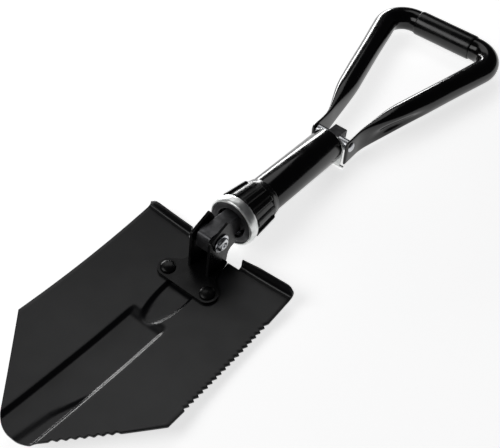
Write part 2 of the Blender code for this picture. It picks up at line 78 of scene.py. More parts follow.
def piece(name, bm, body, mat, nodes, smooth=35.0, bevel=0.0):
    """Make an object of a mesh drawn in the shaft's frame, in place of some CAD nodes."""
    bmesh.ops.recalc_face_normals(bm, faces=bm.faces)
    bmesh.ops.transform(bm, matrix=TO_WORLD, verts=bm.verts)
    mesh = bpy.data.meshes.new(name)
    bm.to_mesh(mesh)
    bm.free()
    mesh.shade_smooth()
    mesh.set_sharp_from_angle(angle=math.radians(smooth))
    mesh.materials.append(mat)
    obj = bpy.data.objects.new(name, mesh)
    bpy.context.scene.collection.objects.link(obj)
    if bevel:
        mod = obj.modifiers.new("rounded_edges", "BEVEL")
        mod.width = bevel * MM
        mod.segments = 3
        mod.limit_method = "ANGLE"
        mod.angle_limit = math.radians(38)
        mod.harden_normals = True
    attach(obj, body)
    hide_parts(*nodes)
    return obj


def turned(profile, axis, segments, centre=(0.0, 0.0)):
    """A body turned about a line along X or Y, from (radius, position) points."""
    bm = bmesh.new()
    rings = []
    for radius, along in profile:
        ring = []
        for i in range(1 if radius == 0 else segments):
            angle = 2 * math.pi * i / segments
            u = centre[0] + radius * math.cos(angle)
            v = centre[1] + radius * math.sin(angle)
            ring.append(bm.verts.new((along, u, v) if axis == "X" else (u, along, v)))
        rings.append(ring)
    if profile[0][0] > 0:
        rings.append(rings[0])
    for one, two in zip(rings, rings[1:]):
        for i in range(segments):
            j = (i + 1) % segments
            corners = [one[i % len(one)], one[j % len(one)], two[j % len(two)], two[i % len(two)]]
            bm.faces.new(list(dict.fromkeys(corners)))
    return bm


def extruded(outline, axis, low, high):
    """A flat outline pushed along X (y, z points) or along Y (x, z points)."""
    bm = bmesh.new()
    caps = []
    for level in (low, high):
        points = [(level, a, b) if axis == "X" else (a, level, b) for a, b in outline]
        caps.append([bm.verts.new(p) for p in points])
    bm.faces.new(caps[0])
    bm.faces.new(caps[1])
    for i in range(len(outline)):
        j = (i + 1) % len(outline)
        bm.faces.new((caps[0][i], caps[0][j], caps[1][j], caps[1][i]))
    return bm


def shell(front, back, keep):
    """A closed skin between two grids of points, on the cells that keep(row, column) allows."""
    bm = bmesh.new()
    rows, columns = len(front), len(front[0])
    fronts = [[bm.verts.new(p) for p in row] for row in front]
    backs = [[bm.verts.new(p) for p in row] for row in back]

    def kept(r, c):
        return 0 <= r < rows - 1 and 0 <= c < columns - 1 and keep(r, c)

    for r in range(rows - 1):
        for c in range(columns - 1):
            if not kept(r, c):
                continue
            corners = [(r, c), (r, c + 1), (r + 1, c + 1), (r + 1, c)]
            bm.faces.new([fronts[i][j] for i, j in corners])
            bm.faces.new([backs[i][j] for i, j in reversed(corners)])
            beside = [(r - 1, c), (r, c + 1), (r + 1, c), (r, c - 1)]
            for k in range(4):
                if kept(*beside[k]):
                    continue
                (a, b), (d, e) = corners[k], corners[(k + 1) % 4]
                bm.faces.new((fronts[a][b], backs[a][b], backs[d][e], fronts[d][e]))
    bmesh.ops.remove_doubles(bm, verts=bm.verts, dist=0.004)
    loose = [v for v in bm.verts if not v.link_faces]
    bmesh.ops.delete(bm, geom=loose, context="VERTS")
    return bm


# ---------------------------------------------------------------- materials

def node(tree, kind, **inputs):
    made = tree.nodes.new(kind)
    for key, value in inputs.items():
        made.inputs[key.replace("_", " ")].default_value = value
    return made


def noise(tree, coords, size_mm, detail=3.0):
    """Noise whose features are about size_mm across."""
    made = node(tree, "ShaderNodeTexNoise", Scale=1.0 / (size_mm * MM), Detail=detail)
    tree.links.new(coords, made.inputs["Vector"])
    return made.outputs["Fac"]


def remap(tree, value, low, high, to_low, to_high):
    made = tree.nodes.new("ShaderNodeMapRange")
    made.inputs["From Min"].default_value = low
    made.inputs["From Max"].default_value = high
    made.inputs["To Min"].default_value = to_low
    made.inputs["To Max"].default_value = to_high
    tree.links.new(value, made.inputs["Value"])
    return made.outputs["Result"]


def multiply(tree, one, two):
    made = tree.nodes.new("ShaderNodeMath")
    made.operation = "MULTIPLY"
    made.use_clamp = True
    tree.links.new(one, made.inputs[0])
    tree.links.new(two, made.inputs[1])
    return made.outputs[0]


def blend_colours(tree, factor, one, two):
    """One colour to another by a mask; either may be a colour or an output."""
    made = tree.nodes.new("ShaderNodeMix")
    made.data_type = "RGBA"
    tree.links.new(factor, made.inputs["Factor"])
    for socket, value in ((made.inputs[6], one), (made.inputs[7], two)):
        if isinstance(value, tuple):
            socket.default_value = (*value, 1.0)
        else:
            tree.links.new(value, socket)
    return made.outputs[2]


def edge_mask(tree, radius_mm):
    """Near 1 where the surface turns sharply within radius_mm, and 0 on open faces."""
    rounded = node(tree, "ShaderNodeBevel", Radius=radius_mm * MM)
    rounded.samples = 4
    flat = tree.nodes.new("ShaderNodeNewGeometry")
    dot = tree.nodes.new("ShaderNodeVectorMath")
    dot.operation = "DOT_PRODUCT"
    tree.links.new(rounded.outputs["Normal"], dot.inputs[0])
    tree.links.new(flat.outputs["Normal"], dot.inputs[1])
    return remap(tree, dot.outputs["Value"], 0.995, 0.86, 0.0, 1.0)


def surface(name, colour, other, rough, grain_mm, grain_bump, edge_sheen_and_scuff_colour, edge_sheen_and_scuff_amount, metallic=0.0,
            stretch=(1.0, 1.0, 1.0), specular=0.5, patch_mm=24.0):
    """Colour that drifts between two tones, uneven roughness, fine grain, and sharp edges lightened in
    patches: a painted edge highlight that also stands for wear.
    """
    mat = bpy.data.materials.new(name)
    mat.use_nodes = True
    tree = mat.node_tree
    shader = tree.nodes["Principled BSDF"]
    shader.inputs["Metallic"].default_value = metallic
    shader.inputs["Specular IOR Level"].default_value = specular
    place = tree.nodes.new("ShaderNodeTexCoord")
    mapping = node(tree, "ShaderNodeMapping", Scale=stretch)
    tree.links.new(place.outputs["Object"], mapping.inputs["Vector"])
    coords = place.outputs["Object"]

    drift = remap(tree, noise(tree, coords, patch_mm), 0.38, 0.64, 0.0, 1.0)
    tone = blend_colours(tree, drift, colour, other)
    # Sharp edges are lightened in noisy patches: a painted edge highlight, also standing for wear.
    edge_sheen_and_scuff_patches = remap(tree, noise(tree, coords, 3.0, 5.0), 0.42, 0.62, 0.0, edge_sheen_and_scuff_amount)
    mask = multiply(tree, edge_mask(tree, 0.5), edge_sheen_and_scuff_patches)
    tone = blend_colours(tree, mask, tone, edge_sheen_and_scuff_colour)
    tree.links.new(tone, shader.inputs["Base Color"])

    smudge = noise(tree, coords, patch_mm * 0.45, 6.0)
    low, high = rough
    tree.links.new(remap(tree, smudge, 0.36, 0.66, low, high), shader.inputs["Roughness"])

    grain = noise(tree, mapping.outputs["Vector"], grain_mm, 2.0)
    bump = node(tree, "ShaderNodeBump", Strength=grain_bump, Distance=0.05 * MM)
    tree.links.new(grain, bump.inputs["Height"])
    tree.links.new(bump.outputs["Normal"], shader.inputs["Normal"])
    return mat


# Lighter grey for the blade's edges: painted edge highlight and bare-steel wear.
EDGE_SHEEN_AND_SCUFF_GREY = (0.17, 0.17, 0.18)
ALONG_SHAFT = (1.0, 0.05, 1.0)
MATS = {
    "blade": surface("blade_powder_coat", (0.0050, 0.0051, 0.0060), (0.0058, 0.0059, 0.0068),
                     (0.30, 0.35), 0.45, 0.35, EDGE_SHEEN_AND_SCUFF_GREY, 0.25, specular=0.36, patch_mm=38.0),
    "gloss": surface("gloss_black_enamel", (0.0012, 0.0012, 0.0013), (0.0018, 0.0018, 0.0020),
                     (0.13, 0.19), 1.6, 0.08, (0.05, 0.05, 0.053), 0.2, specular=0.45),
    "satin": surface("bracket_black", (0.0022, 0.0022, 0.0025), (0.0036, 0.0036, 0.0040),
                     (0.24, 0.34), 0.6, 0.30, (0.09, 0.09, 0.095), 0.4, specular=0.22),
    "plastic": surface("moulded_black", (0.0018, 0.0018, 0.0019), (0.0026, 0.0026, 0.0027),
                       (0.18, 0.27), 0.4, 0.25, (0.02, 0.02, 0.02), 0.5, specular=0.5),
    "steel": surface("dark_grey_steel", (0.060, 0.060, 0.063), (0.110, 0.110, 0.115),
                     (0.36, 0.52), 0.35, 0.40, (0.30, 0.30, 0.31), 0.6, metallic=0.85,
                     stretch=ALONG_SHAFT, patch_mm=9.0),
    "zinc": surface("zinc_plate", (0.66, 0.67, 0.69), (0.50, 0.51, 0.53),
                    (0.26, 0.32), 0.5, 0.15, (0.80, 0.80, 0.80), 0.3, metallic=1.0, patch_mm=9.0),
    "bright": surface("bright_ring_metal", (0.86, 0.87, 0.86), (0.66, 0.68, 0.67),
                      (0.28, 0.44), 0.5, 0.40, (0.95, 0.95, 0.95), 0.5, metallic=0.85,
                      patch_mm=7.0),
}


# ---------------------------------------------------------------- blade

HALF_WIDTH_TOP = 74.4
HALF_WIDTH_SHOULDER = 76.0
SHOULDER_Y = -131.0
TIP_Y = -206.0
TIP_R = 25.0
SHEET = 2.0
CREASE_Y = 12.0
BEND_R = 2.5
BEND_SHARE = 0.54
FLANGE_H = 7.5
FLANGE_RISE = 2.6
FLANGE_CORNER = 8.0
NOTCH_Y = 9.0
NOTCH_RIGHT = 24.0
NOTCH_LEFT = -29.0
TOOTH_PITCH = 5.1
TOOTH_DEPTH = 2.2
FIRST_TOOTH = -114.0
TEETH = 19
SCALLOP_PITCH = 6.2
SCALLOP_DEPTH = 1.5
SCALLOPS = 8
FLANGE_RISE_FROM = 20
FLANGE_RISE_OVER = 24
DISH_Y = -116
DISH_Z = -35.5
DISH_CURVE = 0.0007
DISH_CURVE_TIP = 0.0003
CHANNEL_HALF = 18.6
CHANNEL_WALL = 4.6
CHANNEL_FROM = -66
CHANNEL_DEPTH = 2.2
RECESS_HALF = 13.8
RECESS_FROM = -38.0
RECESS_LENGTH = 42.3
RECESS_WALL = 3.4
RECESS_DEPTH = 2.6
FOLD_DEPTH = 0.9
FOLD_LINE = ((18.0, -132.0), (5.0, -176.0), (2.0, -206.0))


def blade_height(x, y):
    """Height of the blade's hollow face before the pressings: curved both ways."""
    lengthwise = DISH_CURVE if y > DISH_Y else DISH_CURVE_TIP
    return DISH_Z + lengthwise * (y - DISH_Y) ** 2 + DISH_CURVE * x * x


def pressing(x, y):
    """The channel, the tapered recess below the bracket, and the soft fold in the channel."""
    channel = smoothstep((CHANNEL_HALF - abs(x)) / CHANNEL_WALL) * smoothstep((CHANNEL_FROM - y) / 10)
    across = math.hypot(x / RECESS_HALF, min(0.0, y - RECESS_FROM) / RECESS_LENGTH)
    recess = smoothstep((1 - across) * RECESS_HALF / RECESS_WALL)
    depth = max(CHANNEL_DEPTH * channel, RECESS_DEPTH * recess)
    if y < FOLD_LINE[0][1]:
        line_x = along_line(FOLD_LINE, y)
        inside = smoothstep((16.6 - x) / 2.0) * smoothstep((FOLD_LINE[0][1] - y) / 14)
        depth += FOLD_DEPTH * smoothstep((x - line_x) / 4.5) * inside
    return depth


def along_line(points, y):
    """The x at which a line of (x, y) points passes y."""
    ordered = sorted((b, a) for a, b in points)
    if y <= ordered[0][0]:
        return ordered[0][1]
    for (y0, x0), (y1, x1) in zip(ordered, ordered[1:]):
        if y <= y1:
            return x0 + (x1 - x0) * (y - y0) / max(1e-9, y1 - y0)
    return ordered[-1][1]


def flange_height(x):
    """The foot flange rounds off at the blade's sides, and stands taller on the toothed side."""
    past = max(0.0, abs(x) - (HALF_WIDTH_TOP - FLANGE_CORNER))
    fall = FLANGE_CORNER - math.sqrt(max(0.0, FLANGE_CORNER ** 2 - past * past))
    rise = FLANGE_RISE * smoothstep((x - FLANGE_RISE_FROM) / FLANGE_RISE_OVER)
    return FLANGE_H + rise - fall


def edge_outlines():
    """The blade's plain left half width and its toothed right one, as (x, y) lines."""
    tip = Vector((0.0, TIP_Y + TIP_R))
    shoulder = Vector((HALF_WIDTH_SHOULDER, SHOULDER_Y))
    away = shoulder - tip
    turn = math.acos(TIP_R / away.length)
    touch_angle = math.degrees(math.atan2(away.y, away.x) - turn)
    round_tip = arc(tip, TIP_R, -90, touch_angle, 24)
    top = [(HALF_WIDTH_TOP, 4.0), (HALF_WIDTH_TOP, CREASE_Y + SHEET)]
    plain = list(round_tip) + [tuple(shoulder)] + top
    touch = Vector(round_tip[-1])
    edge = (shoulder - touch).normalized()
    outward = Vector((edge.y, -edge.x))
    toothed = list(round_tip)
    steps = 12
    for i in range(SCALLOPS * steps + 1):
        depth = SCALLOP_DEPTH * 0.5 * (1 - math.cos(2 * math.pi * i / steps))
        toothed.append(tuple(touch + edge * (6.0 + i * SCALLOP_PITCH / steps) - outward * depth))
    toothed.append(tuple(shoulder))
    for i in range(TEETH):
        y = FIRST_TOOTH + i * TOOTH_PITCH
        x = side_x(y)
        toothed.append((x, y))
        toothed.append((x - TOOTH_DEPTH, y + TOOTH_PITCH * 0.25))
    last = FIRST_TOOTH + TEETH * TOOTH_PITCH
    toothed.append((side_x(last), last))
    return plain, toothed + top


def side_x(y):
    """Half width of the blade between its shoulder and its top corner."""
    part = (y - SHOULDER_Y) / (CREASE_Y - SHOULDER_Y)
    return HALF_WIDTH_SHOULDER + (HALF_WIDTH_TOP - HALF_WIDTH_SHOULDER) * part


def blade_stations():
    """Rows of the blade from tip to flange: y, how far up the bend, and how rounded its rim is."""
    rows = [(TIP_Y + TIP_R * (1 - math.cos(math.radians(a))), None, 0.6 - 0.2 * min(3, i))
            for i, a in enumerate(range(0, 60, 4))]
    y = rows[-1][0] + 0.5
    while y < -150:
        rows.append((y, None, 0.0))
        y += 0.52
    while y < SHOULDER_Y:
        rows.append((y, None, 0.0))
        y += 2.0
    rows.append((SHOULDER_Y, None, 0.0))
    rows += [(v, None, 0.0) for v in (-129, -127, -125, -123, -121, -119, -117, -115.5)]
    for i in range(TEETH * 4 + 1):
        rows.append((FIRST_TOOTH + i * TOOTH_PITCH / 4, None, 0.0))
    y = FIRST_TOOTH + TEETH * TOOTH_PITCH + 1.5
    while y < NOTCH_Y - 0.6:
        rows.append((y, None, 0.0))
        y += 1.5
    rows += [(NOTCH_Y - 0.5, None, 0.0), (NOTCH_Y, None, 0.0)]
    rows += [(CREASE_Y, part, 0.0) for part in (0.06, 0.14, 0.22, 0.30, 0.38, 0.46, 0.54, 0.66, 0.78)]
    rows += [(CREASE_Y, 0.90, 0.0), (CREASE_Y, 0.97, 0.2), (CREASE_Y, 1.0, 0.6)]
    return rows


def blade_columns():
    fine = [0.0, 2.0, 4.0, 6.0, 8.0, 9.2]
    fine += [10.0 + 0.45 * i for i in range(20)]
    fine += [20.0, 22.0, 24.0, 26.0, 29.0, 30.0]
    inner = [-x for x in reversed(fine) if x > 0] + fine
    outer = [i / 16 for i in range(1, 17)]
    rim = [(0.15, 0.15), (0.0, 0.6)]
    columns = [("rim", -1, *r) for r in reversed(rim)] + [("out", -1, t, 0.0) for t in reversed(outer)]
    columns += [("in", 1 if x >= 0 else -1, x, 0.0) for x in inner]
    return columns + [("out", 1, t, 0.0) for t in outer] + [("rim", 1, *r) for r in rim]


def column_x(column, edge):
    """Where a column crosses a row whose edge is that far out."""
    kind, sign, value, _ = column
    core = min(30.0, max(0.0, edge - 1.2))
    if kind == "in":
        return sign * min(abs(value), core)
    if kind == "out":
        return sign * (core + (max(core, edge - 0.6) - core) * value)
    return sign * max(0.0, edge - value)


def blade_points(x, y, up):
    """Front and back of the sheet; up runs from 0 to 1 round the bend and up the foot flange."""
    if up is None:
        z = blade_height(x, y) - pressing(x, y)
        return Vector((x, y, z)), Vector((x, y, z - SHEET))
    base = blade_height(x, CREASE_Y) - pressing(x, CREASE_Y)
    top = base + max(flange_height(x), BEND_R + 0.5)
    centre = (CREASE_Y - BEND_R, base + BEND_R)
    if up < BEND_SHARE:
        angle = math.radians(-90 + 90 * up / BEND_SHARE)
        c, s = math.cos(angle), math.sin(angle)
        reach = BEND_R + SHEET
        return (Vector((x, centre[0] + BEND_R * c, centre[1] + BEND_R * s)),
                Vector((x, centre[0] + reach * c, centre[1] + reach * s)))
    z = centre[1] + (top - centre[1]) * (up - BEND_SHARE) / (1 - BEND_SHARE)
    return Vector((x, CREASE_Y, z)), Vector((x, CREASE_Y + SHEET, z))


def make_blade():
    plain, toothed = edge_outlines()
    columns = blade_columns()
    rows = blade_stations()
    front, back = [], []
    for y, up, rim in rows:
        left, right = along_line(plain, y), along_line(toothed, y)
        if up is not None:
            left = right = HALF_WIDTH_TOP
        fronts, backs = [], []
        for column in columns:
            x = column_x(column, left if column[1] < 0 else right)
            f, b = blade_points(x, y, up)
            drop = max(rim, column[3]) / SHEET
            fronts.append(f.lerp(b, drop))
            backs.append(b.lerp(f, drop))
        front.append(fronts)
        back.append(backs)
    notch = next(i for i, row in enumerate(rows) if row[0] == NOTCH_Y)
    middle = [column_x(c, HALF_WIDTH_TOP) for c in columns]

    def keep(r, c):
        return r < notch or middle[c] >= NOTCH_RIGHT or middle[c + 1] <= NOTCH_LEFT

    piece("blade_sheet", shell(front, back, keep), "blade", MATS["blade"],
          ["blade"], smooth=50)


# ---------------------------------------------------------------- hinge bracket and its rivets

RIVET_X = 20.4
RIVET_Y = -25.0
LOBE_R = 8.8
EAR_OUT = 10.3
EAR_IN = 8.1
TONGUE_HALF = 6.3
PIN_R = 4.0
GAP = 0.3
BRACKET_SHEET = 2.2
WASHER = 1.2


def make_bracket():
    """Base plate that follows the sheet, and two flat ears standing on it."""
    edge = arc((RIVET_X, RIVET_Y), LOBE_R, -135, 60, 22) + [(16.4, -12.0), (14.8, -5.0), (12.8, 8.0)]
    rows = 26
    front, back = [], []
    reach = 20
    lowest = RIVET_Y - LOBE_R
    for r in range(rows + 1):
        y = lowest + (8.0 - lowest) * (1 - math.cos(math.pi * r / rows)) / 2
        half = bracket_half(edge, y)
        fronts, backs = [], []
        for c in range(-reach, reach + 1):
            u = math.sin(math.pi / 2 * c / reach)
            x = u * half
            z = blade_height(x, y) + GAP
            rim = 0.6 if abs(c) == reach or r in (0, rows) else 0.0
            fronts.append(Vector((x, y, z + BRACKET_SHEET - rim)))
            backs.append(Vector((x, y, z)))
        front.append(fronts)
        back.append(backs)
    base = shell(front, back, lambda r, c: True)
    piece("bracket_base", base, "blade", MATS["satin"], ["hinge_bracket"], smooth=40)
    for side, sign in (("left", -1), ("right", 1)):
        ear = extruded(ear_outline(), "X", sign * EAR_IN, sign * EAR_OUT)
        piece("bracket_ear_" + side, ear, "blade", MATS["satin"],
              ["hinge_bracket"], smooth=30, bevel=0.45)


def bracket_half(edge, y):
    """Half width of the bracket's base at y: out round the rivet's lobe, then in to the ears."""
    lobe = LOBE_R ** 2 - (y - RIVET_Y) ** 2
    waist = along_line([(x, v) for x, v in edge if v > RIVET_Y + 7], y)
    if lobe > 0:
        return max(RIVET_X + math.sqrt(lobe), waist if y > RIVET_Y + 7 else 0.0)
    return waist if y > RIVET_Y else RIVET_X


def ear_outline():
    outline = [(-13.0, -26.6), (-13.0, 10.2)]
    outline += arc((-11.4, 9.6), 1.6, 160, 112, 5)
    outline += arc((7.4, 17.4), 1.8, 110, 25, 8)
    outline += [(13.4, 11.1), (18.6, -4.6)]
    outline += arc((17.0, -8.4), 2.4, 20, -60, 9)
    outline += arc((17.6, -18.0), 7.0, 120, 175, 10)
    outline.append((9.8, -24.4))
    return outline


def make_blade_rivets():
    """Domed heads, each standing square to the sheet."""
    slope = 2 * DISH_CURVE * (RIVET_Y - DISH_Y)
    for side, sign in (("left", -1), ("right", 1)):
        seat = blade_height(RIVET_X, RIVET_Y)
        under = seat - SHEET - GAP
        over = seat + GAP + BRACKET_SHEET + 0.05
        profile = [(0, under - 1.5), (3.0, under - 1.45), (4.6, under - 1.0), (5.2, under - 0.4)]
        profile += [(5.3, under), (2.9, under), (2.9, over), (6.3, over), (6.5, over + 0.3)]
        profile += [(6.4, over + 0.8)]
        profile += [(6.2 * math.cos(a), over + 0.8 + 1.9 * math.sin(a))
                    for a in (math.radians(d) for d in (15, 30, 45, 60, 75))]
        profile += [(0, over + 2.75)]
        bm = turned(profile, "Y", 40)
        middle = (under + over) / 2
        bmesh.ops.transform(bm, matrix=Matrix.Translation((0, -middle, 0)), verts=bm.verts)
        stand = Matrix.Rotation(math.radians(90), 4, "X")
        tip_over = Matrix.Rotation(math.atan(slope), 4, "X")
        place = Matrix.Translation((sign * RIVET_X, RIVET_Y, middle)) @ tip_over @ stand
        bmesh.ops.transform(bm, matrix=place, verts=bm.verts)
        piece("rivet_head_" + side, bm, "blade", MATS["satin"],
              ["blade_rivet_" + side], smooth=50)


def make_hinge_pin():
    """Rolled rivet heads with a hollow middle, on thick washers with eased edges."""
    head_in = EAR_OUT + GAP + WASHER + GAP
    hollow = [(0, head_in + 0.7), (1.2, head_in + 0.8), (1.9, head_in + 1.2)]
    rim = [(2.5, head_in + 1.9), (3.3, head_in + 2.2), (4.3, head_in + 2.1), (5.2, head_in + 1.6)]
    end = hollow + rim + [(5.8, head_in + 0.9), (5.9, head_in), (PIN_R, head_in)]
    profile = [(r, -x) for r, x in end] + [(r, x) for r, x in reversed(end)]
    pin = turned(profile, "X", 48, (0, PIN_Z))
    piece("pin_rolled", pin, "blade", MATS["zinc"], ["hinge_pin"], smooth=50)
    sizes = (("hinge_washer", EAR_OUT + GAP, 8.0, "zinc"),
             ("friction_washer", TONGUE_HALF + GAP, 8.6, "steel"))
    for name, start, radius, look in sizes:
        for side, sign in (("left", -1), ("right", 1)):
            a, b = sign * start, sign * (start + WASHER)
            ring = [(PIN_R + GAP, a), (radius - 0.25, a), (radius, a + sign * 0.25)]
            ring += [(radius, b - sign * 0.35), (radius - 0.35, b), (PIN_R + GAP, b)]
            washer = turned(ring, "X", 48, (0, PIN_Z))
            piece(name + "_disc_" + side, washer, "blade", MATS[look], [name + "_" + side])


# ---------------------------------------------------------------- shaft

TUBE_R = 16.0
TUBE_WALL = 1.5
TUBE_START = 64.0
TUBE_END = 160.0


def make_tube():
    """Plain tube with eased mouths."""
    inner = TUBE_R - TUBE_WALL
    profile = [(inner, TUBE_START), (TUBE_R - 0.6, TUBE_START), (TUBE_R - 0.15, TUBE_START + 0.3)]
    profile += [(TUBE_R, TUBE_START + 0.9), (TUBE_R, TUBE_END - 0.8)]
    profile += [(TUBE_R - 0.2, TUBE_END - 0.2), (TUBE_R - 0.6, TUBE_END), (inner, TUBE_END)]
    piece("tube_skin", turned(profile, "Y", 112), "shaft", MATS["gloss"],
          ["shaft_tube"], smooth=40)


def eased_copy(name, cad_node, body, mat, bevel):
    """The CAD shape with its hard edges rounded."""
    source = frame["nodes"][cad_node]
    mesh = source.data.copy()
    mesh.name = name
    bm = bmesh.new()
    bm.from_mesh(mesh)
    bmesh.ops.remove_doubles(bm, verts=bm.verts, dist=1e-6)
    bmesh.ops.dissolve_limit(bm, angle_limit=math.radians(1.0), verts=bm.verts, edges=bm.edges)
    bm.transform(TO_WORLD.inverted())
    bpy.data.meshes.remove(mesh)
    return piece(name, bm, body, mat, [cad_node], smooth=30, bevel=bevel)


# ---------------------------------------------------------------- locking collar

COLLAR_FRONT = 24.9
RING_END = 33.7
RIB_END = 60.0
NUT_END = 67.0
RIB_COUNT = 12
NUT_FRONT_R = 20.7
NUT_TAPER = 2.3
NECK_R = 18.4
NECK_TAPER = 1.3
RIB_HEIGHT = 1.55
RIB_GROOVE = 0.55


def make_collar():
    front = COLLAR_FRONT
    thrust = [(13.6, front + 1.1), (13.8, front + 0.7), (14.3, front + 0.4)]
    thrust += [(18.3, front + 0.4), (18.75, front + 0.6)]
    thrust += [(18.9, front + 1.0), (18.9, front + 6.0), (16.4, front + 6.0), (16.4, front + 3.6)]
    thrust += [(13.6, front + 3.6)]
    piece("thrust_face", turned(thrust, "Y", 96), "collar", MATS["steel"],
          ["thrust_ring"], smooth=30)
    bright = [(19.2, front + 0.5), (19.35, front + 0.12), (19.7, front), (20.2, front + 0.12)]
    bright += [(20.8, front + 0.55), (21.25, front + 1.2), (21.6, front + 2.2), (21.8, front + 3.3)]
    bright += [(21.9, front + 4.4), (21.9, front + 6.6), (21.8, front + 7.6), (21.4, RING_END - 0.2)]
    bright += [(20.9, RING_END), (19.2, RING_END)]
    piece("ring_rolled", turned(bright, "Y", 112), "collar", MATS["bright"],
          ["collar_ring"], smooth=40)


def nut_surface(y, angle):
    """Radius of the nut: its taper, its rounded ribs and grooves, and the plain neck behind."""
    if y <= RIB_END:
        base = NUT_FRONT_R - NUT_TAPER * (y - RING_END) / (RIB_END - RING_END)
    else:
        base = NECK_R - NECK_TAPER * smoothstep((y - RIB_END) / (NUT_END - RIB_END))
    phase = (angle * RIB_COUNT / (2 * math.pi)) % 1.0
    across = smoothstep((0.24 - abs(phase - 0.5)) / 0.085)
    along = smoothstep((RIB_END + 0.2 - y) / 1.8) * smoothstep((y - RING_END - 0.1) / 1.1)
    groove = RIB_GROOVE * (1 - across) * along
    return base + RIB_HEIGHT * across * along - groove


def make_nut():
    start = RING_END + GAP
    stations = [start + 0.15 * i for i in range(9)] + [start + 1.5 + 2.0 * i for i in range(12)]
    stations += [58.0 + 0.25 * i for i in range(11)] + [61.5, 62.5, 63.5, 64.5, 65.5, 66.3, 66.8]
    segments = RIB_COUNT * 24
    bm = bmesh.new()
    rings = []
    for y in sorted(set(stations)):
        ring = []
        for i in range(segments):
            angle = 2 * math.pi * i / segments
            radius = nut_surface(y, angle)
            ring.append(bm.verts.new((radius * math.cos(angle), y, radius * math.sin(angle))))
        rings.append(ring)
    for radius, y in ((16.9, NUT_END), (16.5, NUT_END - 0.3), (16.5, 55.0), (18.0, 55.0), (18.0, start)):
        angles = [2 * math.pi * i / segments for i in range(segments)]
        rings.append([bm.verts.new((radius * math.cos(a), y, radius * math.sin(a))) for a in angles])
    for one, two in zip(rings, rings[1:] + rings[:1]):
        for i in range(segments):
            j = (i + 1) % segments
            bm.faces.new((one[i], one[j], two[j], two[i]))
    piece("nut_ribbed", bm, "nut", MATS["plastic"], ["lock_nut"], smooth=48)


# ---------------------------------------------------------------- D handle

PIVOT_Y = 168.0
PIVOT_Z = 4.0
HANDLE_TILT = math.radians(5.0)
ARM_X = 18.0
ARM_SLOPE = 0.25
ARM_BEND_S = 18.0
CROSSBAR_S = 196.0
CORNER_R = 22.0
BEND_LONG_R = 60.0
HEEL_S = -6.0
BAR_R = 11.2
SLEEVE_R = 12.2
SLEEVE_HALF = 31.0
ARM_SHEET_HALF = 1.5
PRESSED_HALF_HEIGHT = 12.5


def fillet(before, corner, after, radius, steps):
    corner = Vector(corner)
    to_before = (Vector(before) - corner).normalized()
    to_after = (Vector(after) - corner).normalized()
    half = to_before.angle(to_after) / 2
    centre = corner + (to_before + to_after).normalized() * (radius / math.sin(half))
    start = corner + to_before * (radius / math.tan(half)) - centre
    end = corner + to_after * (radius / math.tan(half)) - centre
    sweep = start.angle_signed(end)
    return [centre + Matrix.Rotation(-sweep * i / steps, 2) @ start for i in range(steps + 1)]


def handle_path():
    corner = (ARM_X + ARM_SLOPE * (CROSSBAR_S - ARM_BEND_S), CROSSBAR_S)
    bend = (ARM_X, ARM_BEND_S)
    heel = Vector((ARM_X, HEEL_S))
    half = [heel, Vector((ARM_X, HEEL_S + 0.5)), Vector((ARM_X, HEEL_S + 1.5))]
    half += [Vector((ARM_X, s)) for s in (-2.0, 0.5, 3.0, 6.0)]
    half += fillet(heel, bend, corner, BEND_LONG_R, 7)
    turn = fillet(bend, corner, (0, CROSSBAR_S), CORNER_R, 22)
    last = half[-1]
    half += [last.lerp(turn[0], i / 40) for i in range(1, 40)]
    half += turn
    straight = turn[-1].x
    half += [Vector((straight * (1 - i / 9), CROSSBAR_S)) for i in range(1, 10)]
    return [Vector((-p.x, p.y)) for p in half[:-1]] + half[::-1]


def arm_section(s):
    """Half width, half height, sink and squareness of the tube at a distance from the pivot."""
    grow = smoothstep((s - 10.0) / 62.0)
    half_width = ARM_SHEET_HALF + (BAR_R - 0.8 - ARM_SHEET_HALF) * grow
    half_height = PRESSED_HALF_HEIGHT + (BAR_R + 0.4 - PRESSED_HALF_HEIGHT) * grow
    to_round = smoothstep((s - 120.0) / 50.0)
    half_width += (BAR_R - half_width) * to_round
    half_height += (BAR_R - half_height) * to_round
    sink = -5.5 * (1 - smoothstep((s - 4.0) / 60.0))
    return half_width, half_height, sink, 4.0 - 2.0 * grow


def dent(s, v):
    """How far the outer wall is pressed in where the round tube was flattened for the hinge."""
    lengthwise = smoothstep((s - 24.0) / 26.0) * (1 - smoothstep((s - 62.0) / 34.0))
    return 4.4 * lengthwise * math.exp(-((v + 1.2) / 4.6) ** 2)


def on_handle(x, s, n):
    y = PIVOT_Y + s * math.cos(HANDLE_TILT) - n * math.sin(HANDLE_TILT)
    z = PIVOT_Z + s * math.sin(HANDLE_TILT) + n * math.cos(HANDLE_TILT)
    return Vector((x, y, z))


